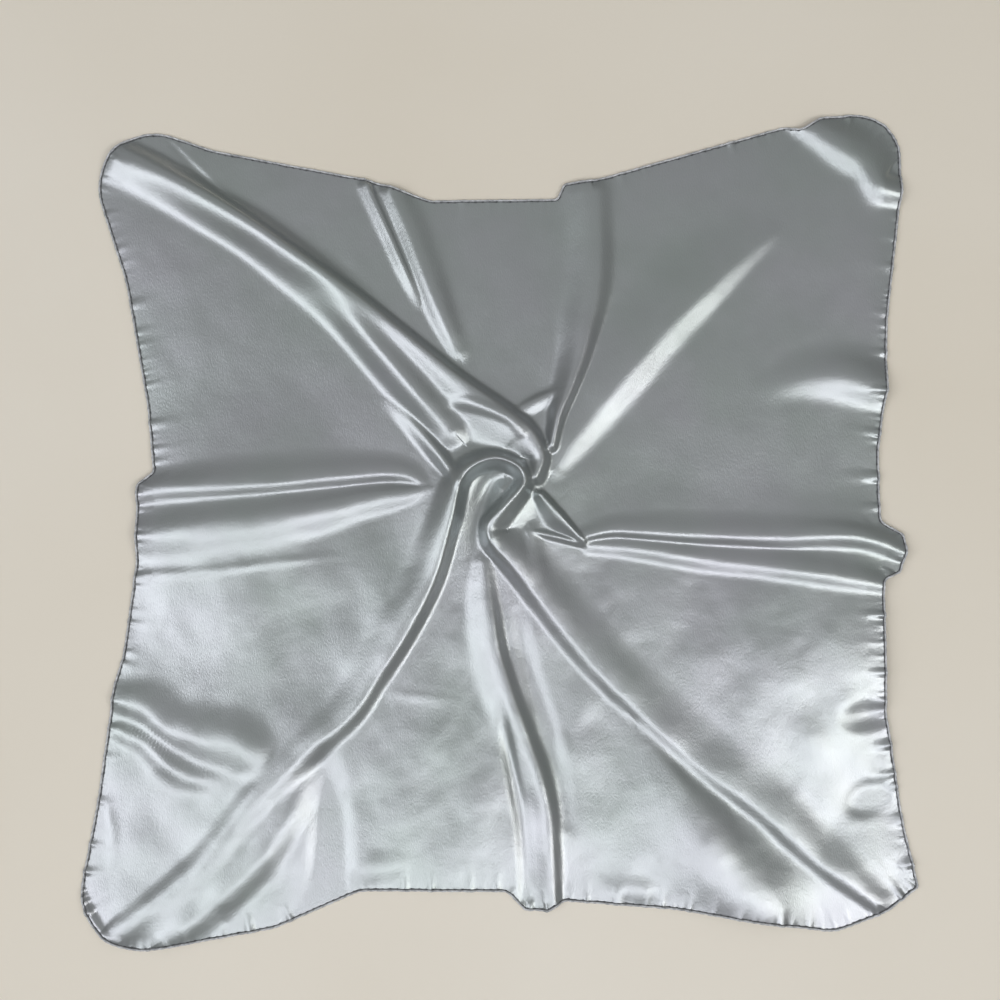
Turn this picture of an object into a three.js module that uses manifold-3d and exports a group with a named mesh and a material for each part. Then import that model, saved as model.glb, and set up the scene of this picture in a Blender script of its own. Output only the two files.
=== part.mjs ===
// A satin square headscarf with an overlocked edge, laid on a table, pinched and twisted at its middle.
// Millimetres, +Z up. The cloth lies on z = 0, and the folds run out from the twist to the four sides.
import * as THREE from "three";
import Module from "manifold-3d";

const wasm = await Module();
wasm.setup();

// ---- driving dimensions ----
const CLOTH_WALL = 1.2; // thickness of the satin wall
const HEM_WIDTH = 2.2; // the rolled and overlocked edge, seen from above
const HEM_HEIGHT = 1.8;
const SEAM_GAP = 0.3; // between the cloth and the edge, and between stretches of the edge
const TWIST = { x: 5, y: 28 }; // the pinched point that every fold runs out from
const STRETCH_STEPS = 38; // steps along each of the four stretches of the edge
const TURN_WEIGHT = 16; // a turn of one radian takes as many steps as this length of straight edge
const FIELD_RINGS = 31; // rings of the cloth mesh, from the twist out to the edge
const FEW_SPOKES = { share: 0.12, every: 4 }; // nearest the twist a ring has one point to four spokes
const HALF_SPOKES = { share: 0.4, every: 2 }; // and farther out one to two
const FIELD_TOLERANCE = 0.18; // flat places of the mesh are thinned by no more than this
const SATIN = { color: 0x9fa6a8, roughness: 0.32, metalness: 0.35 };
const THREAD = { color: 0x55585c, roughness: 0.8, metalness: 0 };

// ---- the laid outline ----
// Anticlockwise, side by side. A turn is the place where two straight runs would meet, and the radius that
// rounds it off. Each side starts with its corner, and stands out a little where a fold leaves the cloth.
const OUTLINE = {
  north: [
    { x: 291, y: 303, radius: 32 },
    { x: 233, y: 297, radius: 12 },
    { x: 219, y: 288, radius: 8 },
    { x: 206, y: 290.5, radius: 12 },
    { x: 68, y: 251, radius: 25 },
    { x: 47, y: 248.5, radius: 4 },
    { x: 42, y: 237.5, radius: 3 },
    { x: -49, y: 236.5, radius: 14 },
    { x: -95, y: 252, radius: 15 },
    { x: -205, y: 273, radius: 40 },
  ],
  west: [
    { x: -312.5, y: 309.5, radius: 40 },
    { x: -267.5, y: 177, radius: 150 },
    { x: -250.5, y: 88, radius: 150 },
    { x: -245, y: 40, radius: 3 },
    { x: -256.5, y: 31, radius: 6 },
    { x: -256, y: -25, radius: 80 },
    { x: -264.5, y: -91, radius: 6 },
    { x: -269.5, y: -108, radius: 20 },
    { x: -280, y: -192, radius: 100 },
  ],
  south: [
    { x: -299.5, y: -302.5, radius: 43 },
    { x: -155, y: -278, radius: 40 },
    { x: -96, y: -252.5, radius: 30 },
    { x: 6, y: -252.8, radius: 10 },
    { x: 18, y: -265.5, radius: 5 },
    { x: 34, y: -266, radius: 8 },
    { x: 46, y: -259.5, radius: 6 },
    { x: 125, y: -265, radius: 120 },
    { x: 232, y: -280.5, radius: 30 },
    { x: 268, y: -267.5, radius: 50 },
  ],
  east: [
    { x: 292, y: -249.5, radius: 3 },
    { x: 282.5, y: -205, radius: 80 },
    { x: 271.5, y: -128, radius: 80 },
    { x: 271.5, y: -37, radius: 5 },
    { x: 284, y: -31.5, radius: 4 },
    { x: 288.5, y: -16, radius: 12 },
    { x: 286.5, y: -4, radius: 7 },
    { x: 270.5, y: 5, radius: 6 },
    { x: 270.5, y: 55, radius: 40 },
    { x: 277, y: 100, radius: 40 },
    { x: 279, y: 150, radius: 80 },
    { x: 290.8, y: 243, radius: 80 },
  ],
};

// ---- the folds ----
// The cloth near the twist is lifted as a low dome, and the folds stand on it.
const DOME = { x: 4, y: 24, height: 6, reach: 90 };
const DOME_POWER = 2; // how its height falls away from its middle
const ROLL_POWER = 3; // the same for a fold, from its crest
const MERGE_POWER = 3; // how sharply two folds that meet keep apart
const ROUTE_PARTS = 6; // straight parts from one station to the next

// Each fold is a rounded roll on a wider skirt. A station: x and y of its crest, its height, and the roll's
// reach to the left and right of the way the stations run.
// skirt: the share of the height that is skirt; spread: the skirt's reach, in the roll's.
const FOLDS = [
  {
    name: "north west hump", skirt: 0, spread: { left: 1, right: 1 },
    stations: [
      [26, 36, 8, 10, 10],
      [31, 50, 9, 20, 9],
      [24, 66, 10.5, 34, 9],
      [10, 79, 12.5, 42, 9],
      [-26, 104, 13.6, 38, 9],
      [-66, 136, 13.8, 28, 9],
      [-106, 168, 13.6, 25, 9],
      [-156, 204, 13, 24, 9],
      [-200, 234, 11, 24, 10],
      [-245, 259, 8, 24, 14],
      [-278, 274, 4.5, 22, 16],
    ],
  },
  {
    name: "shoulder of the hump", skirt: 0, spread: { left: 1, right: 1 },
    stations: [
      [-34, 70, 7, 22, 24],
      [-57, 95, 12.4, 22, 28],
      [-97, 143, 12.6, 23, 26],
      [-112, 161, 11.4, 25, 24],
      [-128, 177, 10.2, 27, 22],
      [-148, 192, 11.6, 25, 22],
      [-176, 212, 12, 23, 22],
      [-212, 234, 10.6, 23, 20],
      [-240, 250, 8, 24, 18],
      [-273, 264, 4.6, 22, 16],
    ],
  },
  {
    name: "roll under the hump", skirt: 0, spread: { left: 1, right: 1 },
    stations: [
      [-28, 32, 8, 11, 10],
      [-41, 51, 6.6, 11, 9],
      [-57, 71, 4, 12, 8],
      [-74, 90, 1, 12, 8],
    ],
  },
  {
    name: "first line of the pleat", skirt: 0, spread: { left: 1, right: 1 },
    stations: [
      [-56, 162, 1, 8, 4],
      [-67, 187, 3.6, 10, 4],
      [-77, 210, 4, 10, 4],
      [-94, 247, 4, 11, 5],
    ],
  },
  {
    name: "second line of the pleat", skirt: 0, spread: { left: 1, right: 1 },
    stations: [
      [-29, 127, 2, 10, 14],
      [-42, 155, 5.2, 13, 18],
      [-53, 182, 5.4, 13, 22],
      [-64, 212, 5, 13, 22],
      [-77, 243, 4.5, 13, 20],
    ],
  },
  {
    name: "north fold", skirt: 0.2, spread: { left: 2, right: 1.4 },
    stations: [
      [38, 58, 7, 7, 8],
      [43, 80, 9.5, 11, 9],
      [50, 97, 9.5, 16, 10],
      [58, 120, 8.5, 22, 12],
      [64, 145, 7.5, 28, 14],
      [69, 170, 6.5, 30, 16],
      [70, 200, 5.5, 30, 18],
      [68, 240, 5, 30, 20],
    ],
  },
  {
    name: "sail beside the north fold", skirt: 0, spread: { left: 1, right: 1 },
    stations: [
      [15, 84, 1.4, 6, 9],
      [28, 91, 3, 7, 13],
      [42, 97, 3.4, 7, 14],
    ],
  },
  {
    name: "north east ridge", skirt: 0, spread: { left: 1, right: 1 },
    stations: [
      [40, 44, 1.2, 24, 14],
      [52, 63, 3.8, 36, 20],
      [70, 86, 5, 42, 23],
      [90, 110, 5.6, 46, 24],
      [120, 144, 5.4, 48, 23],
      [150, 173, 4.6, 46, 20],
      [180, 200, 2.4, 38, 15],
      [203, 219, 0.2, 30, 12],
    ],
  },
  {
    name: "east fold", skirt: 0.3, spread: { left: 2.4, right: 1 },
    stations: [
      [58, -7, 3.4, 9, 7],
      [80, -2, 4.4, 14, 9],
      [110, -3, 4.8, 18, 11],
      [150, -5, 5, 20, 12],
      [200, -6, 5, 20, 13],
      [240, -5, 5, 17, 13],
      [262, -8, 5, 14, 12],
      [286, -17, 4, 10, 10],
    ],
  },
  {
    name: "lower line of the east fold", skirt: 0, spread: { left: 1, right: 1 },
    stations: [
      [64, -12, 1.8, 8, 9],
      [86, -13, 2.6, 12, 11],
      [110, -16, 3, 14, 12],
      [150, -22, 3.2, 16, 13],
      [200, -28, 3.4, 18, 13],
      [245, -35, 3.4, 18, 12],
      [272, -40, 2.6, 12, 10],
    ],
  },
  // in from the south west corner, over the twist clockwise, and down beside the second
  {
    name: "south west crest and loop", skirt: 0.3, spread: { left: 2.2, right: 1 },
    stations: [
      [-270, -284, 3.8, 11, 16],
      [-250, -270, 4.6, 14, 20],
      [-203, -230, 4.8, 16, 21],
      [-168, -188, 5, 18, 20],
      [-133, -155, 5.2, 22, 16],
      [-103, -130, 5.6, 26, 13],
      [-83, -101, 6.2, 30, 12],
      [-65, -74, 7, 32, 11],
      [-46, -36, 8.4, 29, 11],
      [-34, 4, 10.4, 22, 10],
      [-25, 36, 12.6, 14, 9],
      [-5, 48, 13.8, 10, 9],
      [13, 43, 14, 8, 9],
      [18, 31, 13.4, 9, 9],
      [4, 14, 12.6, 13, 9],
      [-7, 2, 11, 18, 8],
      [-6, -8, 8.6, 22, 7],
      [0, -16, 4, 20, 7],
    ],
  },
  {
    name: "south east crest", skirt: 0, spread: { left: 1, right: 1 },
    stations: [
      [-7, 0, 4, 18, 8],
      [-5, -10, 8.6, 26, 10],
      [12, -28, 8, 30, 12],
      [37, -59, 6, 32, 14],
      [69, -98, 4.6, 32, 14],
      [103, -131, 4, 32, 13],
      [143, -167, 4, 32, 13],
      [183, -196, 4, 32, 13],
      [218, -228, 3.8, 28, 12],
      [262, -260, 2.8, 16, 10],
    ],
  },
  {
    name: "rolled corner in the south west", skirt: 0, spread: { left: 1, right: 1 },
    stations: [
      [-293, -238, 1, 5, 6],
      [-291, -252, 3, 5, 7],
      [-284, -266, 3, 5, 7],
      [-274, -279, 3, 5, 7],
      [-262, -286, 2.5, 5, 6],
    ],
  },
  {
    name: "upper wave in the south west", skirt: 0, spread: { left: 1, right: 1 },
    stations: [
      [-268, -120, 3, 18, 13],
      [-248, -126, 4.6, 26, 16],
      [-230, -139, 5, 28, 18],
      [-208, -146, 5, 30, 24],
      [-184, -149, 5, 28, 32],
      [-166, -161, 3.4, 22, 32],
      [-160, -184, 0.8, 18, 26],
    ],
  },
  {
    name: "lower wave in the south west", skirt: 0, spread: { left: 1, right: 1 },
    stations: [
      [-266, -142, 1.6, 9, 11],
      [-247, -150, 3, 10, 13],
      [-232, -163, 3.4, 11, 15],
      [-216, -173, 2.8, 12, 15],
      [-194, -177, 0.8, 12, 14],
    ],
  },
  {
    name: "south ridge", skirt: 0, spread: { left: 1, right: 1 },
    stations: [
      [-10, -26, 2, 9, 14],
      [-6, -55, 4.8, 10, 22],
      [-1, -85, 5.6, 10, 26],
      [8, -115, 5.6, 10, 26],
      [19, -145, 5.4, 10, 23],
      [29, -175, 5.2, 10, 19],
      [35, -205, 5.2, 10, 16],
      [38, -262, 5.4, 10, 15],
    ],
  },
  {
    name: "west fold", skirt: 0, spread: { left: 1, right: 1 },
    stations: [
      [-54, 32, 2, 8, 10],
      [-64, 37, 3.2, 9, 14],
      [-80, 39, 3.8, 10, 18],
      [-110, 37, 4, 11, 22],
      [-160, 32, 4.2, 12, 25],
      [-205, 29, 4.2, 12, 23],
      [-240, 27, 3.8, 12, 18],
      [-262, 22, 3.2, 11, 13],
    ],
  },
  {
    name: "lower line of the west fold", skirt: 0, spread: { left: 1, right: 1 },
    stations: [
      [-50, 28, 2, 9, 6],
      [-62, 25, 3.2, 14, 10],
      [-90, 21, 3.8, 18, 14],
      [-125, 13, 4.3, 23, 18],
      [-165, 6, 4.5, 27, 22],
      [-205, 0, 4.4, 27, 24],
      [-240, -4, 4.2, 25, 24],
      [-262, -6, 3.6, 22, 21],
    ],
  },
  {
    name: "tuck beside the twist", skirt: 0, spread: { left: 1, right: 1 },
    stations: [
      [30, 23, 8, 5, 9],
      [42, 10, 8, 5, 15],
      [52, -1, 6, 5, 10],
      [60, -9, 4, 5, 6],
    ],
  },
  {
    name: "lower line of the tuck", skirt: 0, spread: { left: 1, right: 1 },
    stations: [
      [25, -3, 2, 4, 4],
      [40, -6, 2.6, 4, 5],
      [60, -11, 2.6, 5, 5],
    ],
  },
  {
    name: "soft ridge east of the crest", skirt: 0, spread: { left: 1, right: 1 },
    stations: [
      [22, -4, 2, 12, 9],
      [27, -28, 3.2, 15, 11],
      [40, -55, 2.6, 17, 12],
      [62, -84, 0.6, 16, 12],
    ],
  },
  {
    name: "facets of the north east corner", skirt: 0, spread: { left: 1, right: 1 },
    stations: [
      [206, 298, 2.5, 16, 10],
      [224, 289, 5.4, 26, 16],
      [247, 274, 7.2, 34, 20],
      [264, 260, 6, 34, 16],
      [274, 246, 6.6, 24, 17],
      [290, 243, 4.8, 14, 15],
    ],
  },
  {
    name: "wave by the east edge", skirt: 0, spread: { left: 1, right: 1 },
    stations: [
      [190, 100, 0.4, 14, 16],
      [216, 107, 2.6, 24, 22],
      [242, 109, 5.4, 28, 26],
      [264, 103, 6.2, 28, 24],
      [286, 96, 4.4, 22, 18],
    ],
  },
];

// ---- the outline as arcs and straight runs ----
// Each turn is an arc, and the path joins one arc to the next with a straight line.
function outlinePath() {
  const turns = Object.values(OUTLINE).flat();
  const path = new THREE.Path();
  turns.forEach(({ x, y, radius }, i) => {
    const before = turns.at(i - 1);
    const after = turns[(i + 1) % turns.length];
    const inward = new THREE.Vector2(x - before.x, y - before.y).normalize();
    const onward = new THREE.Vector2(after.x - x, after.y - y).normalize();
    const swing = Math.atan2(inward.cross(onward), inward.dot(onward));
    const start = new THREE.Vector2(x, y).addScaledVector(inward, -radius * Math.tan(Math.abs(swing) / 2));
    const toCentre = new THREE.Vector2(-inward.y, inward.x).multiplyScalar(radius * Math.sign(swing));
    const centre = start.clone().add(toCentre);
    const from = Math.atan2(-toCentre.y, -toCentre.x);
    path.absarc(centre.x, centre.y, radius, from, from + swing, swing < 0);
  });
  path.closePath();
  return path;
}

const FINE_STEPS = 4800; // round the whole outline

// The outline as closely spaced points, each with the way ahead along the edge and the way out of the cloth.
function fineEdge() {
  const points = outlinePath().getSpacedPoints(FINE_STEPS).slice(0, FINE_STEPS);
  return points.map(({ x, y }, i) => {
    const ahead = points[(i + 1) % FINE_STEPS].clone().sub(points.at(i - 1)).normalize();
    return { x, y, ahead, out: new THREE.Vector2(ahead.y, -ahead.x) };
  });
}

const EDGE = fineEdge();

// The place of the edge nearest to a corner's meeting point, which is the middle of the corner's arc.
function cornerStep({ x, y }) {
  const distances = EDGE.map((place) => Math.hypot(place.x - x, place.y - y));
  return distances.indexOf(Math.min(...distances));
}

// Places along a stretch of the edge, closer together where it turns.
function stretchPlaces(from, to) {
  const count = (to - from + FINE_STEPS) % FINE_STEPS;
  const fine = Array.from({ length: count + 1 }, (_, i) => EDGE[(from + i) % FINE_STEPS]);
  const weights = [0];
  for (let i = 1; i <= count; i++) {
    const length = Math.hypot(fine[i].x - fine[i - 1].x, fine[i].y - fine[i - 1].y);
    const turn = Math.abs(fine[i - 1].ahead.cross(fine[i].ahead));
    weights.push(weights[i - 1] + length + TURN_WEIGHT * turn);
  }
  const places = [];
  for (let step = 0; step <= STRETCH_STEPS; step++) {
    const target = (weights[count] * step) / STRETCH_STEPS;
    places.push(fine[weights.findIndex((weight) => weight >= target)]);
  }
  return places;
}

// A place of the edge moved out of the cloth, and on along the edge.
function movedOut({ x, y, out, ahead }, level, on = 0) {
  return [x + out.x * level + ahead.x * on, y + out.y * level + ahead.y * on];
}

// ---- the folds as a height over the table ----
// Stations joined by a Catmull-Rom curve, in plan and in their sizes.
function foldRoute({ stations }) {
  const spans = stations.length - 1;
  const route = [];
  for (let i = 0; i <= spans * ROUTE_PARTS; i++) {
    const span = Math.min(Math.floor(i / ROUTE_PARTS), spans - 1);
    const part = i / ROUTE_PARTS - span;
    const [x, y, height, left, right] = stations[span].map((from, column) => {
      const before = stations[Math.max(span - 1, 0)][column];
      const to = stations[span + 1][column];
      const after = stations[Math.min(span + 2, spans)][column];
      const bend = (2 * before - 5 * from + 4 * to - after) * part ** 2;
      const turnBack = (3 * from - before - 3 * to + after) * part ** 3;
      return (2 * from + (to - before) * part + bend + turnBack) / 2;
    });
    route.push({ x, y, height, left, right });
  }
  return route;
}

const ROUTES = FOLDS.map((fold) => ({ ...fold, route: foldRoute(fold) }));

// 1 at the middle, down to 0 at a share of 1, level at both. A greater power gives a narrower top.
function bell(share, power) {
  return Math.max(1 - share ** 2, 0) ** power;
}

function foldHeight({ route, skirt, spread }, x, y) {
  let best = { distance: Infinity };
  for (let i = 0; i + 1 < route.length; i++) {
    const a = route[i];
    const b = route[i + 1];
    const dx = b.x - a.x;
    const dy = b.y - a.y;
    const part = THREE.MathUtils.clamp(((x - a.x) * dx + (y - a.y) * dy) / (dx * dx + dy * dy), 0, 1);
    const awayX = x - a.x - dx * part;
    const awayY = y - a.y - dy * part;
    const distance = Math.hypot(awayX, awayY);
    if (distance < best.distance) {
      const side = dx * awayY - dy * awayX > 0 ? "left" : "right";
      best = {
        distance,
        side,
        height: a.height + (b.height - a.height) * part,
        reach: a[side] + (b[side] - a[side]) * part,
      };
    }
  }
  const share = best.distance / best.reach;
  const roll = bell(share, ROLL_POWER);
  const foot = bell(share / spread[best.side], ROLL_POWER);
  return best.height * ((1 - skirt) * roll + skirt * foot);
}

// Height of the cloth's underside over the table before the wall is laid on it.
function lift(x, y) {
  const dome = bell(Math.hypot(x - DOME.x, y - DOME.y) / DOME.reach, DOME_POWER) * DOME.height;
  const folds = ROUTES.reduce((sum, fold) => sum + foldHeight(fold, x, y) ** MERGE_POWER, 0);
  return dome + folds ** (1 / MERGE_POWER);
}

// Top and bottom of the cloth wall: on a slope the upright thickness grows, so the wall keeps its thickness.
function wallHeights(x, y) {
  const STEP = 0.5;
  const middle = lift(x, y);
  const slopeX = (lift(x + STEP, y) - lift(x - STEP, y)) / (2 * STEP);
  const slopeY = (lift(x, y + STEP) - lift(x, y - STEP)) / (2 * STEP);
  const upright = CLOTH_WALL * Math.hypot(1, slopeX, slopeY);
  return { top: middle + CLOTH_WALL, bottom: Math.max(middle + CLOTH_WALL - upright, 0) };
}

// ---- solids ----
function makeSolid(name, vertices, triangles, finish, tolerance) {
  let solid = new wasm.Manifold(
    new wasm.Mesh({
      numProp: 3,
      vertProperties: Float32Array.from(vertices.flat()),
      triVerts: Uint32Array.from(triangles.flat()),
    }),
  );
  if (tolerance) solid = solid.simplify(tolerance);
  const mesh = solid.getMesh();
  const geometry = new THREE.BufferGeometry();
  geometry.setAttribute("position", new THREE.BufferAttribute(Float32Array.from(mesh.vertProperties), 3));
  geometry.setIndex(Array.from(mesh.triVerts));
  geometry.computeVertexNormals();
  const named = new THREE.Mesh(geometry, new THREE.MeshStandardMaterial(finish));
  named.name = name;
  return named;
}

// The stretches of edge, each from the middle of one rounded corner to the middle of the next.
const CORNER_STEPS = Object.values(OUTLINE).map(([corner]) => cornerStep(corner));
const STRETCHES = Object.keys(OUTLINE).map((side, i) => ({
  name: `edge_${side}`,
  places: stretchPlaces(CORNER_STEPS[i], CORNER_STEPS[(i + 1) % CORNER_STEPS.length]),
}));

// Triangles between an inner ring and an outer one with as many points or twice as many.
function joinRings(inner, outer) {
  const triangles = [];
  const ratio = outer.length / inner.length;
  for (let i = 0; i < outer.length; i++) {
    const next = (i + 1) % outer.length;
    const near = inner[Math.floor(i / ratio)];
    const nearNext = inner[Math.floor(next / ratio)];
    triangles.push([near, outer[i], outer[next]]);
    if (nearNext !== near) triangles.push([near, outer[next], nearNext]);
  }
  return triangles;
}

// The satin square: rings of top and bottom points round the twist, closed by a rim.
function makePanel() {
  const places = STRETCHES.flatMap((stretch) => stretch.places.slice(0, STRETCH_STEPS));
  const rim = places.map((place) => movedOut(place, -HEM_WIDTH - SEAM_GAP));
  const vertices = [];
  const addPoint = (x, y, face) => vertices.push([x, y, wallHeights(x, y)[face]]) - 1;
  const thinning = (share) => [FEW_SPOKES, HALF_SPOKES].find((band) => share < band.share)?.every ?? 1;
  const makeRing = (share, face) =>
    rim
      .filter((_, spoke) => spoke % thinning(share) === 0)
      .map(([x, y]) => addPoint(TWIST.x + (x - TWIST.x) * share, TWIST.y + (y - TWIST.y) * share, face));
  const makeFace = (face) => {
    const rings = [[addPoint(TWIST.x, TWIST.y, face)]];
    for (let ring = 1; ring <= FIELD_RINGS; ring++) rings.push(makeRing(ring / FIELD_RINGS, face));
    const fan = rings[1].map((point, i) => [rings[0][0], point, rings[1][(i + 1) % rings[1].length]]);
    const bands = rings.slice(2).flatMap((ring, i) => joinRings(rings[i + 1], ring));
    return { outer: rings[FIELD_RINGS], triangles: [...fan, ...bands] };
  };
  const top = makeFace("top");
  const bottom = makeFace("bottom");
  const under = bottom.triangles.map(([a, b, c]) => [a, c, b]);
  const wall = top.outer.flatMap((a, i) => {
    const next = (i + 1) % top.outer.length;
    return [[a, bottom.outer[i], bottom.outer[next]], [a, bottom.outer[next], top.outer[next]]];
  });
  return makeSolid("satin_panel", vertices, [...top.triangles, ...under, ...wall], SATIN, FIELD_TOLERANCE);
}

// The rolled edge in section: share of its width outward from the cloth, share of its height.
const HEM_SECTION = [
  { out: 0, up: 0 },
  { out: 1, up: 0 },
  { out: 1, up: 0.6 },
  { out: 0.75, up: 1 },
  { out: 0.25, up: 1 },
  { out: 0, up: 0.6 },
];

// One stretch of the rolled edge, its two ends drawn back by half the seam gap.
function makeHem({ name, places }) {
  const drawnBack = { 0: SEAM_GAP / 2, [STRETCH_STEPS]: -SEAM_GAP / 2 };
  const sections = places.map((place, step) => {
    const base = lift(...movedOut(place, -HEM_WIDTH));
    return HEM_SECTION.map(({ out, up }) => [
      ...movedOut(place, (out - 1) * HEM_WIDTH, drawnBack[step]),
      base + HEM_HEIGHT * up,
    ]);
  });
  const sides = HEM_SECTION.length;
  const triangles = [];
  for (let step = 0; step < STRETCH_STEPS; step++) {
    for (let side = 0; side < sides; side++) {
      const a = step * sides + side;
      const b = step * sides + ((side + 1) % sides);
      triangles.push([a, b + sides, b], [a, a + sides, b + sides]);
    }
  }
  const last = STRETCH_STEPS * sides;
  for (let side = 1; side + 1 < sides; side++) {
    triangles.push([0, side, side + 1], [last, last + side + 1, last + side]);
  }
  return makeSolid(name, sections.flat(), triangles, THREAD);
}

const scarf = new THREE.Group();
scarf.add(makePanel());
for (const stretch of STRETCHES) scarf.add(makeHem(stretch));

// The middle of the scarf's box goes over the origin.
const box = new THREE.Box3().setFromObject(scarf);
scarf.position.set(-(box.min.x + box.max.x) / 2, -(box.min.y + box.max.y) / 2, 0);

export default scarf;
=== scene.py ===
import math

import bpy
import numpy as np
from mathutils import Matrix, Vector


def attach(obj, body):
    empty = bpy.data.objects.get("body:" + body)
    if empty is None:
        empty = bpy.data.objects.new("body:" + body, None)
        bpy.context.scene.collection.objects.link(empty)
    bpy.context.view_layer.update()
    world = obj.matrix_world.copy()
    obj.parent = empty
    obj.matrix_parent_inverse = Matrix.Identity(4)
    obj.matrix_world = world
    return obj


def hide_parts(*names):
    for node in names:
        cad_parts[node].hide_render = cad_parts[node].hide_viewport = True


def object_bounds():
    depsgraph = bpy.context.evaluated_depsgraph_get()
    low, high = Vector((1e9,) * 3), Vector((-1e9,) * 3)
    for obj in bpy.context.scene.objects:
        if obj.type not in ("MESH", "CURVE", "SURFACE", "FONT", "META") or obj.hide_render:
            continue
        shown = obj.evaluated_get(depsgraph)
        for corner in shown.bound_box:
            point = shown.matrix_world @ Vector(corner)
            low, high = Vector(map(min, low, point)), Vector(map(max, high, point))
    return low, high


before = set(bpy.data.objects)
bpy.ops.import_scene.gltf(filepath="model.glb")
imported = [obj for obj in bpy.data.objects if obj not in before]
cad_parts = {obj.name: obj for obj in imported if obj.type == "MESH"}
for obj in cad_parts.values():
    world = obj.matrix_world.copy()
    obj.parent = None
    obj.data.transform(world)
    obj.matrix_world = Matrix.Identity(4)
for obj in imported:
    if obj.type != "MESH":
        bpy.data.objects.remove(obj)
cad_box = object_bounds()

# A satin square headscarf, laid on a table, pinched and twisted at its middle.
# The tables below are in millimetres, as in the part's source; meshes are made in metres.
MM = 0.001

# ---------------------------------------------------------------- driving sizes
TWIST = (5.0, 28.0)  # the pinched point that every fold runs out from
STITCH_PITCH = 5.0  # overlock stitches along the edge

# ---------------------------------------------------------------- the laid outline
# Anticlockwise, side by side. A turn is where two straight runs would meet: x, y and the radius that rounds
# it off. Each side starts with its corner, and stands out a little where a fold leaves the cloth.
OUTLINE = {
    "north": [
        (291, 303, 32), (233, 297, 12), (219, 288, 8), (206, 290.5, 12), (68, 251, 25), (47, 248.5, 4),
        (42, 237.5, 3), (-49, 236.5, 14), (-95, 252, 15), (-205, 273, 40),
    ],
    "west": [
        (-312.5, 309.5, 40), (-267.5, 177, 150), (-250.5, 88, 150), (-245, 40, 3), (-256.5, 31, 6),
        (-256, -25, 80), (-264.5, -91, 6), (-269.5, -108, 20), (-280, -192, 100),
    ],
    "south": [
        (-299.5, -302.5, 43), (-155, -278, 40), (-96, -252.5, 30), (6, -252.8, 10), (18, -265.5, 5),
        (34, -266, 8), (46, -259.5, 6), (125, -265, 120), (232, -280.5, 30), (268, -267.5, 50),
    ],
    "east": [
        (292, -249.5, 3), (282.5, -205, 80), (271.5, -128, 80), (271.5, -37, 5), (284, -31.5, 4),
        (288.5, -16, 12), (286.5, -4, 7), (270.5, 5, 6), (270.5, 55, 40), (277, 100, 40), (279, 150, 80),
        (290.8, 243, 80),
    ],
}
ARC_STEP = 0.5  # longest straight part of a rounded turn


def rounded_outline():
    """Points round the outline: an arc at each turn, and straight runs between them."""
    turns = np.array([turn for side in OUTLINE.values() for turn in side], dtype=float)
    places = turns[:, :2]
    ahead = np.roll(places, -1, axis=0) - places
    ahead /= np.hypot(*ahead.T)[:, None]
    points = []
    for place, radius, onward, inward in zip(places, turns[:, 2], ahead, np.roll(ahead, 1, axis=0)):
        swing = math.atan2(inward[0] * onward[1] - inward[1] * onward[0], inward @ onward)
        start = place - inward * radius * math.tan(abs(swing) / 2)
        spoke = np.array([inward[1], -inward[0]]) * math.copysign(radius, swing)
        steps = max(math.ceil(abs(swing) * radius / ARC_STEP), 1)
        for part in np.linspace(0, swing, steps + 1):
            c, s = math.cos(part), math.sin(part)
            points.append(start - spoke + (c * spoke[0] - s * spoke[1], s * spoke[0] + c * spoke[1]))
    return np.array(points)


def even_edge(count):
    """The outline in even steps: points, the outward way at each, and the whole length."""
    rough = rounded_outline()
    rough = np.concatenate([rough, rough[:1]])
    along = np.concatenate([[0.0], np.cumsum(np.hypot(*np.diff(rough, axis=0).T))])
    targets = np.arange(count) / count * along[-1]
    points = np.column_stack([np.interp(targets, along, rough[:, 0]), np.interp(targets, along, rough[:, 1])])
    ahead = np.roll(points, -1, axis=0) - np.roll(points, 1, axis=0)
    ahead /= np.hypot(*ahead.T)[:, None]
    return points, np.column_stack([ahead[:, 1], -ahead[:, 0]]), along[-1]


def soft_ramp(value, softness):
    """The value where it is above zero, and a soft rise to it from zero below."""
    return softness * np.logaddexp(0, value / softness)


# ---------------------------------------------------------------- the folds
# Each fold is a rounded roll on a wider skirt. A station: x and y of its crest, its height, and the roll's
# reach to the left and right of the way the stations run.
# skirt: the share of the height that is skirt. spread: the skirt's reach to the left and right, in rolls.
MERGE_POWER = 3  # how sharply two folds that meet keep apart
ROUTE_PARTS = 8  # straight parts from one station to the next
DOME = dict(x=4, y=24, height=6, reach=90)  # the cloth is lifted round the twist


def fold(name, skirt, spread, stations):
    return dict(name=name, skirt=skirt, spread=spread, stations=stations)


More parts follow.
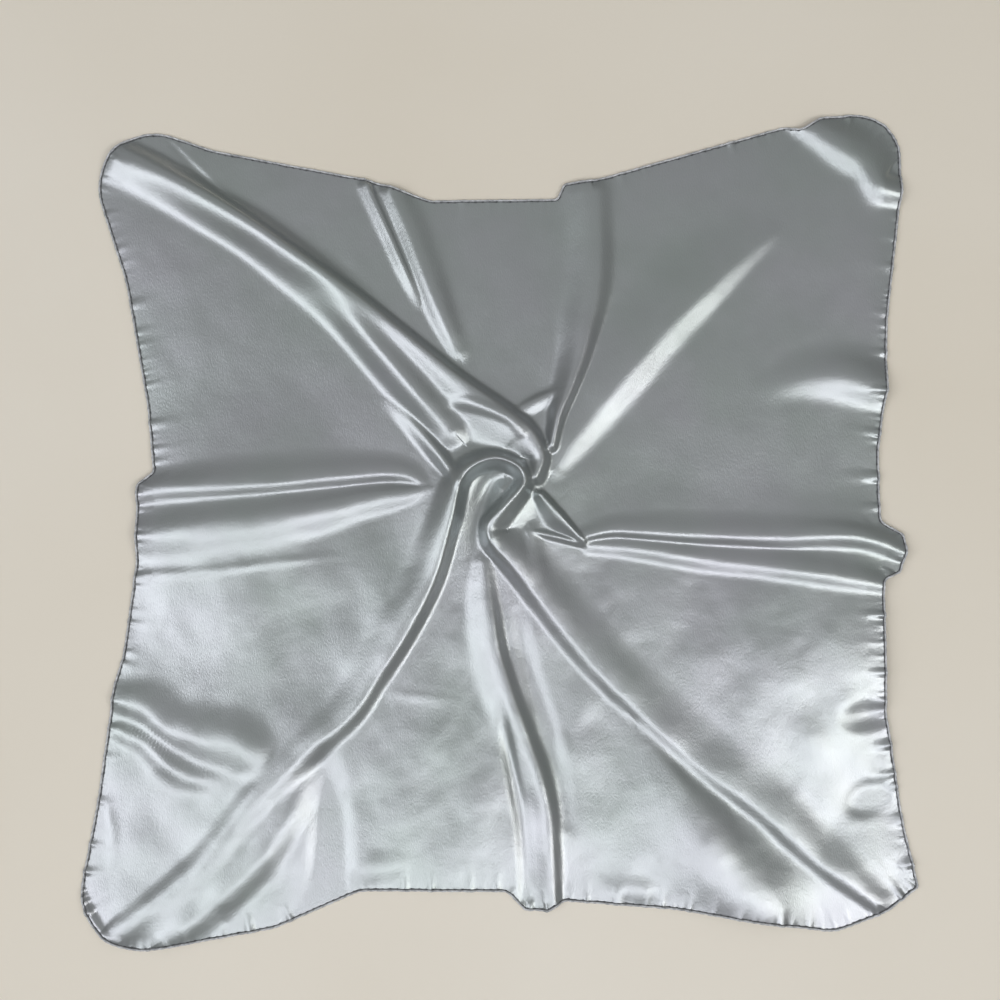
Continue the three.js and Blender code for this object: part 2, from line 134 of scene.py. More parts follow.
FOLDS = [
    fold("north west hump", 0.0, (1, 1), [
        (26, 36, 8, 10, 10), (31, 50, 9, 20, 9), (24, 66, 10.5, 34, 9), (10, 79, 12.5, 42, 9),
        (-26, 104, 13.6, 38, 9), (-66, 136, 13.8, 28, 9), (-106, 168, 13.6, 25, 9), (-156, 204, 13, 24, 9),
        (-200, 234, 11, 24, 10), (-245, 259, 8, 24, 14), (-278, 274, 4.5, 22, 16),
    ]),
    fold("shoulder of the hump", 0.0, (1, 1), [
        (-34, 70, 7, 22, 24), (-57, 95, 12.4, 22, 28), (-97, 143, 12.6, 23, 26),
        (-112, 161, 11.4, 25, 24), (-128, 177, 10.2, 27, 22), (-148, 192, 11.6, 25, 22),
        (-176, 212, 12, 23, 22), (-212, 234, 10.6, 23, 20), (-240, 250, 8, 24, 18), (-273, 264, 4.6, 22, 16),
    ]),
    fold("roll under the hump", 0.0, (1, 1), [
        (-28, 32, 8, 11, 10), (-41, 51, 6.6, 11, 9), (-57, 71, 4, 12, 8), (-74, 90, 1, 12, 8),
    ]),
    fold("first line of the pleat", 0.0, (1, 1), [
        (-56, 162, 1, 8, 4), (-67, 187, 3.6, 10, 4), (-77, 210, 4, 10, 4), (-94, 247, 4, 11, 5),
    ]),
    fold("second line of the pleat", 0.0, (1, 1), [
        (-29, 127, 2, 10, 14), (-42, 155, 5.2, 13, 18), (-53, 182, 5.4, 13, 22), (-64, 212, 5, 13, 22),
        (-77, 243, 4.5, 13, 20),
    ]),
    fold("north fold", 0.2, (2.0, 1.4), [
        (38, 58, 7, 7, 8), (43, 80, 9.5, 11, 9), (50, 97, 9.5, 16, 10), (58, 120, 8.5, 22, 12),
        (64, 145, 7.5, 28, 14), (69, 170, 6.5, 30, 16), (70, 200, 5.5, 30, 18), (68, 240, 5, 30, 20),
    ]),
    fold("sail beside the north fold", 0.0, (1, 1), [
        (15, 84, 1.4, 6, 9), (28, 91, 3, 7, 13), (42, 97, 3.4, 7, 14),
    ]),
    fold("north east ridge", 0.0, (1, 1), [
        (40, 44, 1.2, 24, 14), (52, 63, 3.8, 36, 20), (70, 86, 5, 42, 23), (90, 110, 5.6, 46, 24),
        (120, 144, 5.4, 48, 23), (150, 173, 4.6, 46, 20), (180, 200, 2.4, 38, 15), (203, 219, 0.2, 30, 12),
    ]),
    fold("east fold", 0.3, (2.4, 1.0), [
        (58, -7, 3.4, 9, 7), (80, -2, 4.4, 14, 9), (110, -3, 4.8, 18, 11), (150, -5, 5, 20, 12),
        (200, -6, 5, 20, 13), (240, -5, 5, 17, 13), (262, -8, 5, 14, 12), (286, -17, 4, 10, 10),
    ]),
    fold("lower line of the east fold", 0.0, (1, 1), [
        (64, -12, 1.8, 8, 9), (86, -13, 2.6, 12, 11), (110, -16, 3, 14, 12), (150, -22, 3.2, 16, 13),
        (200, -28, 3.4, 18, 13), (245, -35, 3.4, 18, 12), (272, -40, 2.6, 12, 10),
    ]),
    # in from the south west corner, over the twist clockwise, and down beside the second
    fold("south west crest and loop", 0.3, (2.2, 1.0), [
        (-270, -284, 3.8, 11, 16), (-250, -270, 4.6, 14, 20), (-203, -230, 4.8, 16, 21),
        (-168, -188, 5, 18, 20), (-133, -155, 5.2, 22, 16), (-103, -130, 5.6, 26, 13),
        (-83, -101, 6.2, 30, 12), (-65, -74, 7, 32, 11), (-46, -36, 8.4, 29, 11), (-34, 4, 10.4, 22, 10),
        (-25, 36, 12.6, 14, 9), (-5, 48, 13.8, 10, 9), (13, 43, 14, 8, 9), (18, 31, 13.4, 9, 9),
        (4, 14, 12.6, 13, 9), (-7, 2, 11, 18, 8), (-6, -8, 8.6, 22, 7), (0, -16, 4, 20, 7),
    ]),
    fold("south east crest", 0.0, (1, 1), [
        (-7, 0, 4, 18, 8), (-5, -10, 8.6, 26, 10), (12, -28, 8, 30, 12), (37, -59, 6, 32, 14),
        (69, -98, 4.6, 32, 14), (103, -131, 4, 32, 13), (143, -167, 4, 32, 13), (183, -196, 4, 32, 13),
        (218, -228, 3.8, 28, 12), (262, -260, 2.8, 16, 10),
    ]),
    fold("rolled corner in the south west", 0.0, (1, 1), [
        (-293, -238, 1, 5, 6), (-291, -252, 3, 5, 7), (-284, -266, 3, 5, 7), (-274, -279, 3, 5, 7),
        (-262, -286, 2.5, 5, 6),
    ]),
    fold("upper wave in the south west", 0.0, (1, 1), [
        (-268, -120, 3, 18, 13), (-248, -126, 4.6, 26, 16), (-230, -139, 5, 28, 18), (-208, -146, 5, 30, 24),
        (-184, -149, 5, 28, 32), (-166, -161, 3.4, 22, 32), (-160, -184, 0.8, 18, 26),
    ]),
    fold("lower wave in the south west", 0.0, (1, 1), [
        (-266, -142, 1.6, 9, 11), (-247, -150, 3, 10, 13), (-232, -163, 3.4, 11, 15),
        (-216, -173, 2.8, 12, 15), (-194, -177, 0.8, 12, 14),
    ]),
    fold("south ridge", 0.0, (1, 1), [
        (-10, -26, 2, 9, 14), (-6, -55, 4.8, 10, 22), (-1, -85, 5.6, 10, 26), (8, -115, 5.6, 10, 26),
        (19, -145, 5.4, 10, 23), (29, -175, 5.2, 10, 19), (35, -205, 5.2, 10, 16), (38, -262, 5.4, 10, 15),
    ]),
    fold("west fold", 0.0, (1, 1), [
        (-54, 32, 2, 8, 10), (-64, 37, 3.2, 9, 14), (-80, 39, 3.8, 10, 18), (-110, 37, 4, 11, 22),
        (-160, 32, 4.2, 12, 25), (-205, 29, 4.2, 12, 23), (-240, 27, 3.8, 12, 18), (-262, 22, 3.2, 11, 13),
    ]),
    fold("lower line of the west fold", 0.0, (1, 1), [
        (-50, 28, 2, 9, 6), (-62, 25, 3.2, 14, 10), (-90, 21, 3.8, 18, 14), (-125, 13, 4.3, 23, 18),
        (-165, 6, 4.5, 27, 22), (-205, 0, 4.4, 27, 24), (-240, -4, 4.2, 25, 24), (-262, -6, 3.6, 22, 21),
    ]),
    fold("tuck beside the twist", 0.0, (1, 1), [
        (30, 23, 8, 5, 9), (42, 10, 8, 5, 15), (52, -1, 6, 5, 10), (60, -9, 4, 5, 6),
    ]),
    fold("lower line of the tuck", 0.0, (1, 1), [
        (25, -3, 2, 4, 4), (40, -6, 2.6, 4, 5), (60, -11, 2.6, 5, 5),
    ]),
    fold("soft ridge east of the crest", 0.0, (1, 1), [
        (22, -4, 2, 12, 9), (27, -28, 3.2, 15, 11), (40, -55, 2.6, 17, 12), (62, -84, 0.6, 16, 12),
    ]),
    fold("facets of the north east corner", 0.0, (1, 1), [
        (206, 298, 2.5, 16, 10), (224, 289, 5.4, 26, 16), (247, 274, 7.2, 34, 20), (264, 260, 6, 34, 16),
        (274, 246, 6.6, 24, 17), (290, 243, 4.8, 14, 15),
    ]),
    fold("wave by the east edge", 0.0, (1, 1), [
        (190, 100, 0.4, 14, 16), (216, 107, 2.6, 24, 22), (242, 109, 5.4, 28, 26), (264, 103, 6.2, 28, 24),
        (286, 96, 4.4, 22, 18),
    ]),
]
# Fine creases and troughs, added on top of the folds, in the same columns.
CREASES = [
    fold("crease on the hump's end", 0.0, (1, 1), [
        (-40, 88, 0.3, 7, 7), (-20, 87, 1.6, 8, 8), (6, 77, 2, 8, 7), (16, 66, 1, 7, 6),
    ]),
    fold("trough east of the south ridge", 0.0, (1, 1), [
        (14, -60, -0.4, 10, 9), (20, -95, -1.6, 14, 10), (31, -135, -2, 15, 10), (42, -175, -2, 15, 9),
        (47, -206, -1, 13, 8),
    ]),
    fold("trough west of the south ridge", 0.0, (1, 1), [
        (2, -122, -0.3, 6, 6), (6, -150, -2.4, 7, 7), (12, -180, -2.8, 7, 8), (17, -208, -2.4, 7, 9),
        (20, -256, -2, 7, 9),
    ]),
    fold("trough beside the south west crest", 0.0, (1, 1), [
        (-122, -158, -0.6, 14, 14), (-119, -182, -3, 20, 20), (-117, -214, -3.6, 22, 22),
        (-120, -256, -2.6, 22, 20),
    ]),
    fold("ridge beside the south west crest", 0.0, (1, 1), [
        (-138, -174, 0.5, 12, 16), (-148, -202, 3.8, 18, 26), (-170, -234, 5, 21, 32),
        (-198, -260, 5, 21, 32), (-230, -284, 3.6, 18, 22),
    ]),
    fold("thin line by the west edge", 0.0, (1, 1), [
        (-272, -194, 0.3, 4, 4), (-269, -214, 1, 5, 4), (-267, -236, 0.2, 4, 4),
    ]),
    fold("thin line under the west fold", 0.0, (1, 1), [
        (-257, -34, 0.8, 5, 5), (-205, -31, 0.8, 6, 5), (-160, -25, 0.6, 6, 5), (-112, -20, 0.1, 5, 5),
    ]),
    fold("thin line in the south", 0.0, (1, 1), [
        (-80, -115, 0.1, 5, 5), (-60, -118, 0.5, 6, 5), (-30, -121, 0.1, 5, 5),
    ]),
    fold("line on the hump's corner", 0.0, (1, 1), [
        (-236, 277, -0.4, 4, 4), (-216, 256, -1, 5, 4), (-200, 241, -0.8, 5, 4), (-184, 229, -0.1, 4, 4),
    ]),
    fold("hollow of the loop", 0.0, (1, 1), [
        (4, 36, -2, 9, 9), (-4, 33, -5, 12, 12), (-10, 22, -6, 14, 14), (-15, 6, -4, 14, 14),
        (-17, -12, -1.6, 13, 13), (-17, -30, -0.3, 10, 10),
    ]),
    fold("bank beside the south east crest", 0.0, (1, 1), [
        (98, -142, 0.8, 9, 30), (122, -176, 4.6, 20, 50), (144, -208, 7.6, 33, 60), (163, -238, 8.8, 44, 60),
        (181, -268, 8, 50, 54),
    ]),
]
# Broad swells: x, y, half length, half width, turn in degrees, height.
SWELLS = [
    (-182, 0, 98, 116, 0, 5.5),
    (240, -84, 120, 130, -24, 5.6),
    (258, -131, 24, 14, 10, -3.2),
    (258, -188, 22, 14, 30, -3.2),
    (-84, -236, 26, 14, 10, 1.2),
    (96, -252, 30, 12, -4, 1.2),
]


def fold_route(fold):
    """The stations joined by a Catmull-Rom curve in every column."""
    rows = np.array(fold["stations"], dtype=float)
    route = []
    for i in range(len(rows) - 1):
        before, a = rows[max(i - 1, 0)], rows[i]
        b, after = rows[i + 1], rows[min(i + 2, len(rows) - 1)]
        for part in np.arange(ROUTE_PARTS) / ROUTE_PARTS:
            bend = 2 * a + (b - before) * part
            bend = bend + (2 * before - 5 * a + 4 * b - after) * part**2
            bend = bend + (3 * a - before - 3 * b + after) * part**3
            route.append(bend / 2)
    route.append(rows[-1])
    return np.array(route)


def bell(share):
    return np.clip(1 - share * share, 0, 1) ** 3


def fold_height(fold, x, y):
    route = fold_route(fold)
    reach = route[:, 3:5].max() * max(fold["spread"])
    low = route[:, :2].min(axis=0) - reach
    high = route[:, :2].max(axis=0) + reach
    near = (x > low[0]) & (x < high[0]) & (y > low[1]) & (y < high[1])
    px, py = x[near], y[near]
    best = np.full(px.shape, 1e9)
    tall = np.zeros(px.shape)
    width = np.ones(px.shape)
    spread = np.ones(px.shape)
    for a, b in zip(route[:-1], route[1:]):
        run = b[:2] - a[:2]
        part = ((px - a[0]) * run[0] + (py - a[1]) * run[1]) / max(run @ run, 1e-9)
        part = np.clip(part, 0, 1)
        away_x = px - a[0] - run[0] * part
        away_y = py - a[1] - run[1] * part
        distance = np.hypot(away_x, away_y)
        closer = distance < best
        left = run[0] * away_y - run[1] * away_x > 0
        sized = np.where(left, a[3] + (b[3] - a[3]) * part, a[4] + (b[4] - a[4]) * part)
        best = np.where(closer, distance, best)
        tall = np.where(closer, a[2] + (b[2] - a[2]) * part, tall)
        width = np.where(closer, sized, width)
        spread = np.where(closer, np.where(left, *fold["spread"]), spread)
    share = best / width
    height = np.zeros(x.shape)
    height[near] = tall * ((1 - fold["skirt"]) * bell(share) + fold["skirt"] * bell(share / spread))
    return height


def swell_height(x, y):
    """Broad low swells where the cloth doesn't quite lie flat."""
    height = np.zeros(x.shape)
    for px, py, along, across, turn, tall in SWELLS:
        c, s = math.cos(math.radians(turn)), math.sin(math.radians(turn))
        u = ((x - px) * c + (y - py) * s) / along
        v = ((y - py) * c - (x - px) * s) / across
        height += tall * np.clip(1 - u * u - v * v, 0, 1) ** 2
    return height


def lift(x, y):
    """Height of the cloth over the table."""
    from_dome = ((x - DOME["x"]) ** 2 + (y - DOME["y"]) ** 2) / DOME["reach"] ** 2
    dome = np.clip(1 - from_dome, 0, 1) ** 2 * DOME["height"]
    total = np.zeros(x.shape)
    for fold in FOLDS:
        total += np.abs(fold_height(fold, x, y)) ** MERGE_POWER
    fine = np.zeros(x.shape)
    for fold in CREASES:
        fine += fold_height(fold, x, y)
    return dome + total ** (1 / MERGE_POWER) + fine + swell_height(x, y)


# ---------------------------------------------------------------- mesh tools
def frame_shift():
    """The frame's origin is under the middle of the outline's box; the tables' is not quite."""
    edge = rounded_outline()
    middle = (edge.min(axis=0) + edge.max(axis=0)) / 2
    box_middle = (cad_box[0] + cad_box[1]) / 2 / MM
    return np.array([box_middle.x, box_middle.y]) - middle


SHIFT = frame_shift()


def make_object(name, vertices, faces, material, smooth=True):
    """An object from points in table millimetres."""
    points = np.array(vertices, dtype=float)
    points[:, :2] += SHIFT
    mesh = bpy.data.meshes.new(name)
    mesh.from_pydata((points * MM).tolist(), [], faces)
    mesh.update()
    mesh.polygons.foreach_set("use_smooth", [smooth] * len(mesh.polygons))
    mesh.materials.append(material)
    obj = bpy.data.objects.new(name, mesh)
    bpy.context.scene.collection.objects.link(obj)
    return obj


# share of the way from the twist to the edge, spokes on the rings up to there, gap between the rings in mm
RING_BANDS = [
    dict(upto=0.10, spokes=200, step=0.9),
    dict(upto=0.30, spokes=400, step=1.45),
    dict(upto=0.95, spokes=800, step=3.0),
    dict(upto=0.98, spokes=1600, step=1.8),
    dict(upto=1.0, spokes=3200, step=1.2),
]
MEAN_REACH = 295.0  # from the twist to the edge


def ring_plan():
    """One (share, spokes) pair a ring, from the twist out."""
    rings = []
    done = 0.0
    for band in RING_BANDS:
        count = max(round((band["upto"] - done) * MEAN_REACH / band["step"]), 1)
        for i in range(1, count + 1):
            rings.append((done + (band["upto"] - done) * i / count, band["spokes"]))
        done = band["upto"]
    return rings


def ring_faces(inner, outer):
    """Faces between an inner ring and one with as many points or a whole number of times as many."""
    faces = []
    ratio = len(outer) // len(inner)
    for i in range(len(outer)):
        following = (i + 1) % len(outer)
        near, near_next = inner[i // ratio], inner[following // ratio]
        if near_next == near:
            faces.append((near, outer[i], outer[following]))
        else:
            faces.append((near, outer[i], outer[following], near_next))
    return faces


# ---------------------------------------------------------------- unevenness
RIPPLE_WAVES = [  # how many waves, their longest and shortest length in mm, and how steep they make the cloth
    dict(count=26, longest=170, shortest=70, slope=0.018),
    dict(count=36, longest=60, shortest=26, slope=0.022),
    dict(count=60, longest=24, shortest=7, slope=0.016),
]
RIPPLE_SHARES = [(-300, 1.6), (-60, 1.2), (40, 0.5), (300, 0.5)]  # y, and the share of the ripples there
# Short gathers, at a pitch that wanders by a share of itself and with a share of the height that comes and
# goes along the edge, and longer single ones, where a slower wave is over a threshold. All in mm and shares.
PUCKER = dict(pitch=6.2, wander=0.5, wander_length=40, height=0.42, reach=4.0)
PUCKER_SHARE = dict(mean=0.25, swing=0.8, length=45, least=0.04, most=1.3)
LONG_PUCKER = dict(length=15, threshold=0.15, height=1.7, reach=9)
# How strongly the edge is puckered at each heading from the twist: degrees, share.
PUCKER_STRENGTH = [
    (-180, 0.5), (-135, 0.8), (-90, 0.8), (-45, 1.0), (0, 0.8), (40, 0.6), (90, 0.25), (130, 0.25),
    (160, 0.55), (180, 0.5),
]


def ripple_height(x, y):
    """Faint waves that keep the cloth from being perfectly smooth."""
    draw = np.random.RandomState(seed=7)
    height = np.zeros(x.shape)
    for band in RIPPLE_WAVES:
        each = band["slope"] / math.sqrt(band["count"] / 2)
        for _ in range(band["count"]):
            length = band["shortest"] * (band["longest"] / band["shortest"]) ** draw.rand()
            turn, phase = 2 * math.pi * draw.rand(2)
            wave = 2 * math.pi / length
            height += each / wave * np.sin(wave * (x * math.cos(turn) + y * math.sin(turn)) + phase)
    return height * np.interp(y, *zip(*RIPPLE_SHARES))


WANDER_WAVES = 12
WANDER_LENGTHS = (0.6, 2.0)  # shortest and longest of them, in shares of the length asked for
WANDER_PEAK = 1.6  # about how high their sum goes, in its mean swings


def wander(along, length, seed):
    """Smooth uneven wave between about -1 and 1 along the edge."""
    draw = np.random.RandomState(seed)
    total = np.zeros(np.shape(along))
    shortest, longest = WANDER_LENGTHS
    for _ in range(WANDER_WAVES):
        each = length * (shortest + (longest - shortest) * draw.rand())
        total = total + np.sin(2 * math.pi * (along / each + draw.rand()))
    return total / math.sqrt(WANDER_WAVES / 2) / WANDER_PEAK


def pucker_height(along, inward, heading):
    """Gathers that the edge stitches pull into the cloth, deepest at the edge."""
    degrees, shares = zip(*PUCKER_STRENGTH)
    strength = np.interp(np.degrees(heading), degrees, shares)
    phase = along / PUCKER["pitch"] + PUCKER["wander"] * wander(along, PUCKER["wander_length"], seed=11)
    share = PUCKER_SHARE["mean"] + PUCKER_SHARE["swing"] * wander(along, PUCKER_SHARE["length"], seed=12)
    share = np.clip(share, PUCKER_SHARE["least"], PUCKER_SHARE["most"])
    short = np.sin(2 * math.pi * phase) * share * PUCKER["height"] * np.exp(-inward / PUCKER["reach"])
    long = np.clip(wander(along, LONG_PUCKER["length"], seed=13) - LONG_PUCKER["threshold"], 0, None)
    long = long * LONG_PUCKER["height"] * np.exp(-inward / LONG_PUCKER["reach"])
    return strength * (short + long)


LOWEST = 0.2  # the cloth's middle over the table, where it touches
SOFTNESS = 0.15  # of its coming to rest there
RESTING = 0.9  # where it lies loosely at its edge
LOOSE = dict(height=1.6, reach=26)  # and how much higher inward


def cloth_height(x, y, along, inward):
    heading = np.arctan2(y - TWIST[1], x - TWIST[0])
    resting = RESTING + LOOSE["height"] * (1 - np.exp(-inward / LOOSE["reach"]))
    raw = lift(x, y) + ripple_height(x, y) + pucker_height(along, inward, heading) + resting
    return LOWEST + soft_ramp(raw - LOWEST, SOFTNESS)


# ---------------------------------------------------------------- materials
# The values of a noise between which a colour or a roughness goes from one end to the other.
COLOUR_RANGE = (0.32, 0.68)
ROUGHNESS_RANGE = (0.3, 0.7)


class Nodes:
    """A material's node tree, with short ways to add and join nodes."""

    def __init__(self, name):
        self.material = bpy.data.materials.new(name)
        self.material.use_nodes = True
        self.tree = self.material.node_tree
        self.shader = self.tree.nodes["Principled BSDF"]

    def add(self, kind, **values):
        node = self.tree.nodes.new(kind)
        for key, value in values.items():
            setattr(node, key, value)
        return node

    def join(self, source, target):
        self.tree.links.new(source, target)

    def set(self, **values):
        """Constant values on the shader's own sockets."""
        for key, value in values.items():
            self.shader.inputs[key.replace("_", " ")].default_value = value

    def noise(self, scale, detail, stretch=(1, 1, 1)):
        """Noise over the object, scale being how many lumps there are to a metre."""
        place = self.add("ShaderNodeTexCoord")
        mapping = self.add("ShaderNodeMapping")
        mapping.inputs["Scale"].default_value = stretch
        self.join(place.outputs["Object"], mapping.inputs["Vector"])
        node = self.add("ShaderNodeTexNoise")
        node.inputs["Scale"].default_value = scale
        node.inputs["Detail"].default_value = detail
        self.join(mapping.outputs["Vector"], node.inputs["Vector"])
        return node.outputs["Fac"]

    def roughness(self, source, low, high):
        """Roughness, from one value to the other across a noise."""
        node = self.add("ShaderNodeMapRange")
        node.inputs["From Min"].default_value = ROUGHNESS_RANGE[0]
        node.inputs["From Max"].default_value = ROUGHNESS_RANGE[1]
        node.inputs["To Min"].default_value = low
        node.inputs["To Max"].default_value = high
        self.join(source, node.inputs["Value"])
        self.join(node.outputs["Result"], self.shader.inputs["Roughness"])

    def colour(self, source, low, high):
        """The base colour, from one to the other across a noise."""
        ramp = self.add("ShaderNodeValToRGB")
        ramp.color_ramp.elements[0].position = COLOUR_RANGE[0]
        ramp.color_ramp.elements[0].color = (*low, 1)
        ramp.color_ramp.elements[1].position = COLOUR_RANGE[1]
        ramp.color_ramp.elements[1].color = (*high, 1)
        self.join(source, ramp.inputs["Fac"])
        self.join(ramp.outputs["Color"], self.shader.inputs["Base Color"])

    def bump(self, source, distance, strength, under=None):
        """A bumped normal, on top of another if one is given."""
        node = self.add("ShaderNodeBump")
        node.inputs["Distance"].default_value = distance
        node.inputs["Strength"].default_value = strength
        self.join(source, node.inputs["Height"])
        if under:
            self.join(under, node.inputs["Normal"])
        return node.outputs["Normal"]


def satin_material():
    satin = Nodes("satin")
    satin.set(Metallic=0.8, Sheen_Weight=0.08)
    cloud = satin.noise(scale=9, detail=4)
    satin.colour(cloud, (0.380, 0.418, 0.405), (0.425, 0.434, 0.455))
    satin.roughness(satin.noise(scale=60, detail=3), 0.32, 0.36)
    weave = satin.noise(scale=1500, detail=2, stretch=(1, 0.35, 1))
    weave = satin.bump(weave, distance=0.0002, strength=0.7)
    grain = satin.bump(satin.noise(scale=420, detail=3), distance=0.0003, strength=0.14, under=weave)
    soft = satin.bump(satin.noise(scale=75, detail=4), distance=0.0006, strength=0.20, under=grain)
    satin.join(soft, satin.shader.inputs["Normal"])
    return satin.material


def lip_material():
    """Satin under the close overlock stitches: paler and duller than the cloth."""
    lip = Nodes("rolled_satin")
    lip.set(Metallic=0.15, Roughness=0.5, Sheen_Weight=0.3)
    lip.colour(lip.noise(scale=300, detail=3), (0.30, 0.31, 0.32), (0.62, 0.63, 0.64))
    stitches = lip.bump(lip.noise(scale=1800, detail=2), distance=0.0002, strength=0.6)
    lip.join(stitches, lip.shader.inputs["Normal"])
    return lip.material


def thread_and_groove_shade_material():
    thread = Nodes("overlock_thread_painted_shade")
    thread.set(Roughness=0.65, Sheen_Weight=0.2)
    # Painted shade: this near-black tone is the thread's own dark colour with the shade of the groove along
    # the needle line painted into it.
    thread.colour(thread.noise(scale=400, detail=2), (0.06, 0.062, 0.066), (0.16, 0.163, 0.17))
    strands = thread.bump(thread.noise(scale=2500, detail=2), distance=0.0001, strength=0.6)
    thread.join(strands, thread.shader.inputs["Normal"])
    return thread.material


def table_material():
    table = Nodes("pale_table")
    table.set(Roughness=0.75)
    table.colour(table.noise(scale=1.6, detail=4), (0.72, 0.66, 0.55), (0.78, 0.73, 0.635))
    plaster = table.bump(table.noise(scale=300, detail=4), distance=0.0003, strength=0.15)
    table.join(plaster, table.shader.inputs["Normal"])
    return table.material


# ---------------------------------------------------------------- pieces
LIP_RADIUS = 0.75  # the satin rolled over at the very edge
LIP_LINE = -0.85  # its centre, inward from the outer edge
THREAD_LINE = -1.75  # the chain of overlock thread beside it
THREAD_RADIUS = 0.16
KNOT_RADIUS = 0.55
KNOT_SHARPNESS = 8  # the greater, the shorter a knot is beside the stitch pitch
NIP = 0.3  # share of the lip's radius that a stitch takes in
LIP_UNEVENNESS = dict(share=0.12, length=9)  # of the lip's radius, along the edge
THREAD_UNEVENNESS = dict(off=0.18, length=12)  # of the chain's line, along the edge
EDGE_STEPS = 3200
edge_points, edge_outward, EDGE_LENGTH = even_edge(EDGE_STEPS)
along_edge = np.arange(EDGE_STEPS) / EDGE_STEPS * EDGE_LENGTH


def make_panel(satin):
    """The satin square: rings of points round the twist, closer together at the twist and the edge."""
    outer = edge_points + edge_outward * LIP_LINE
    twist = np.array(TWIST)
    reach = np.hypot(*(outer - twist).T)
    ahead = np.column_stack([-edge_outward[:, 1], edge_outward[:, 0]])
    flat, along, inward = [twist[None, :]], [np.zeros(1)], [np.full(1, MEAN_REACH)]
    rings = [[0]]
    count = 1
    for share, spokes in ring_plan():
        step = EDGE_STEPS // spokes
        points = twist + (outer[::step] - twist) * share
        away = points - outer[::step]
        flat.append(points)
        along.append(along_edge[::step] + (away * ahead[::step]).sum(axis=1))
        inward.append(reach[::step] * (1 - share))
        rings.append(list(range(count, count + spokes)))
        count += spokes
    x, y = np.concatenate(flat).T
    z = cloth_height(x, y, np.concatenate(along), np.concatenate(inward))
    faces = [(0, a, b) for a, b in zip(rings[1], rings[1][1:] + rings[1][:1])]
    for inner, outer_ring in zip(rings[1:-1], rings[2:]):
        faces += ring_faces(inner, outer_ring)
    panel = make_object("satin_square", np.column_stack([x, y, z]), faces, satin)
    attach(panel, "root")
    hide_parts("satin_panel")
    return panel


def edge_line(level, rise):
    """Points along the edge, moved out to a level and up by a rise over the cloth."""
    points = edge_points + edge_outward * level
    z = cloth_height(points[:, 0], points[:, 1], along_edge, np.full(EDGE_STEPS, -level)) + rise
    return points, z


def closed_tube(points, z, radii, sides):
    """Points and faces of a tube round the whole edge, with a radius of its own at each step."""
    vertices = []
    for k in range(sides):
        turn = 2 * math.pi * k / sides
        plan = points + edge_outward * (radii * math.cos(turn))[:, None]
        vertices.append(np.column_stack([plan, z + radii * math.sin(turn)]))
    count = len(points)
    faces = []
    for i in range(count):
        j = (i + 1) % count
        for k in range(sides):
            m = (k + 1) % sides
            faces.append((k * count + i, k * count + j, m * count + j, m * count + i))
    return np.concatenate(vertices), faces


def stitch_share(along):
    """1 at each stitch of the overlocking and 0 between two."""
    return np.cos(math.pi * along / STITCH_PITCH) ** KNOT_SHARPNESS


EDGE_NODES = ["edge_north", "edge_west", "edge_south", "edge_east"]


def make_lip(finish):
    """The satin rolled over at the edge, nipped in by each stitch."""
    points, z = edge_line(LIP_LINE, LIP_RADIUS)
    uneven = LIP_UNEVENNESS["share"] * wander(along_edge, LIP_UNEVENNESS["length"], seed=21)
    radii = LIP_RADIUS * (1 - NIP * stitch_share(along_edge) + uneven)
    vertices, faces = closed_tube(points, z, radii, sides=8)
    lip = make_object("rolled_lip", vertices, faces, finish)
    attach(lip, "root")
    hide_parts(*EDGE_NODES)
    return lip


def make_thread(thread):
    """The chain of thread along the lip, thick at each knot."""
    points, z = edge_line(THREAD_LINE, KNOT_RADIUS - LOWEST)
    off = THREAD_UNEVENNESS["off"] * wander(along_edge, THREAD_UNEVENNESS["length"], seed=22)
    points = points + edge_outward * off[:, None]
    radii = THREAD_RADIUS + (KNOT_RADIUS - THREAD_RADIUS) * stitch_share(along_edge)
    vertices, faces = closed_tube(points, z, radii, sides=6)
    chain = make_object("overlock_chain", vertices, faces, thread)
    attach(chain, "root")
    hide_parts(*EDGE_NODES)
    return chain


TABLE_SIZE = 6.0  # metres


def make_table(material):
    bpy.ops.mesh.primitive_plane_add(size=TABLE_SIZE, location=(0, 0, 0))
    table = bpy.context.object
    table.name = "table"
    table.data.materials.append(material)


# ---------------------------------------------------------------- light and camera
def area_light(name, place, size, power, colour):
    data = bpy.data.lights.new(name, "AREA")
    data.shape = "RECTANGLE"
    data.size, data.size_y = size
    data.energy = power
    data.color = colour
    light = bpy.data.objects.new(name, data)
    light.location = place
    light.rotation_euler = (Vector((0, 0, 0)) - Vector(place)).to_track_quat("-Z", "Y").to_euler()
    bpy.context.scene.collection.objects.link(light)


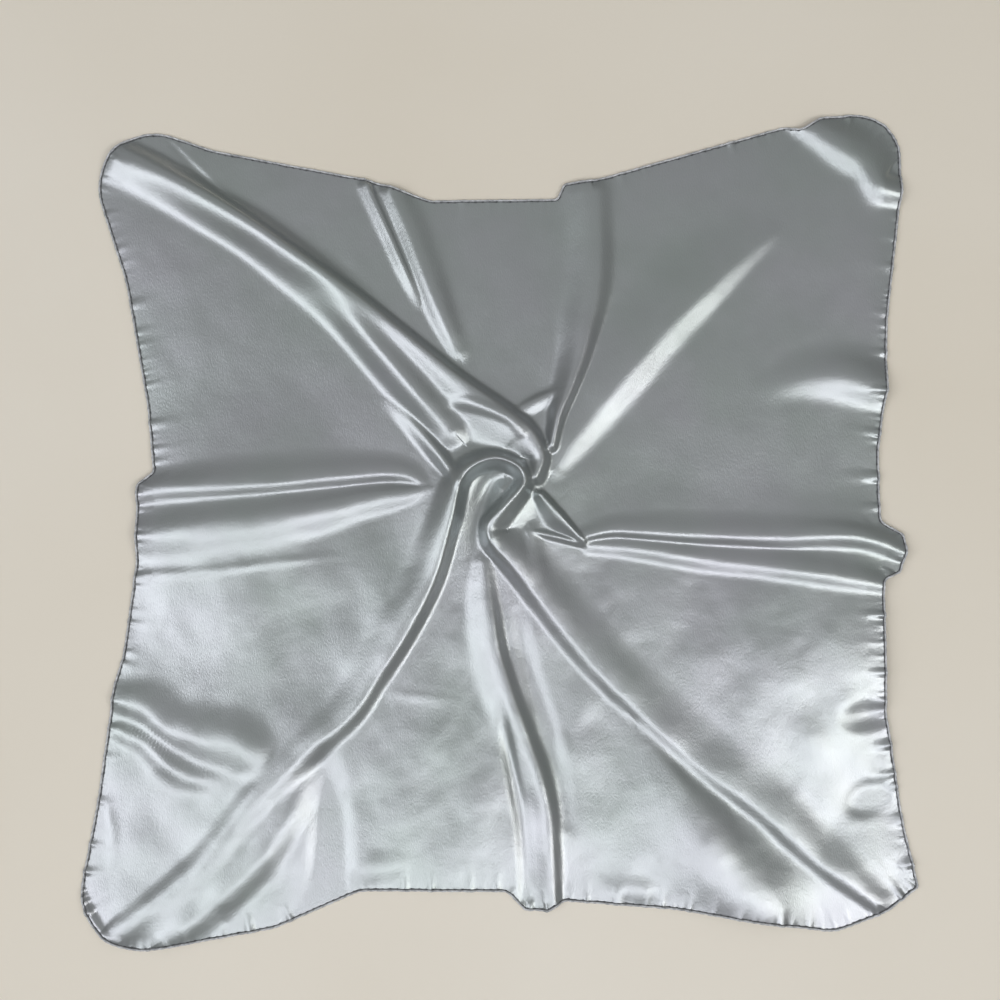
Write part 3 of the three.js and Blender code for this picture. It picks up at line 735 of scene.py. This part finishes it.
# A key high up towards the viewer with a wide dimmer halo, a large window at the west, a small one at the
# east and a weak one nearer, and a dim ceiling beyond.
LIGHTS = [
    dict(name="key", place=(0.1, -2.0, 4.0), size=(4.4, 1.3), power=42, colour=(0.94, 0.94, 1.0)),
    dict(name="halo", place=(0, -1.95, 4.2), size=(6.4, 3.2), power=27, colour=(0.96, 0.97, 1.0)),
    dict(name="west window", place=(-3.1, -0.7, 3.3), size=(2.3, 3.6), power=70, colour=(0.94, 0.945, 1.0)),
    dict(name="east window", place=(2.7, -1.25, 3.4), size=(1.6, 1.5), power=36, colour=(1.0, 0.99, 0.97)),
    dict(name="near window", place=(1.0, -0.95, 3.4), size=(1.0, 0.55), power=6, colour=(0.96, 0.96, 1.0)),
    dict(name="ceiling", place=(0, 2.4, 4.2), size=(6.5, 4.4), power=18, colour=(0.97, 0.99, 1.0)),
]

ROOM_COLOUR = (0.98, 1.0, 0.965, 1)
ROOM_STRENGTH = 0.20


def make_light():
    world = bpy.data.worlds.new("studio")
    bpy.context.scene.world = world
    world.use_nodes = True
    background = world.node_tree.nodes["Background"]
    background.inputs["Color"].default_value = ROOM_COLOUR
    background.inputs["Strength"].default_value = ROOM_STRENGTH
    for row in LIGHTS:
        area_light(**row)


VIEW_ELEVATION = math.radians(86)
VIEW_DISTANCE = 0.90
VIEW_AIM = Vector((0.0001, 0.0167, 0.0))
PICTURE_WIDTH = 0.71  # of the table, across the middle of the view


def make_camera():
    data = bpy.data.cameras.new("camera")
    camera = bpy.data.objects.new("camera", data)
    bpy.context.scene.collection.objects.link(camera)
    back = Vector((0, -math.cos(VIEW_ELEVATION), math.sin(VIEW_ELEVATION)))
    camera.location = VIEW_AIM + back * VIEW_DISTANCE
    camera.rotation_euler = (-back).to_track_quat("-Z", "Y").to_euler()
    data.lens = data.sensor_width * VIEW_DISTANCE / PICTURE_WIDTH
    bpy.context.scene.camera = camera


satin = satin_material()
thread = thread_and_groove_shade_material()
make_table(table_material())
panel = make_panel(satin)
lip = make_lip(lip_material())
chain = make_thread(thread)
make_light()
make_camera()
bpy.context.scene.view_settings.view_transform = "Standard"
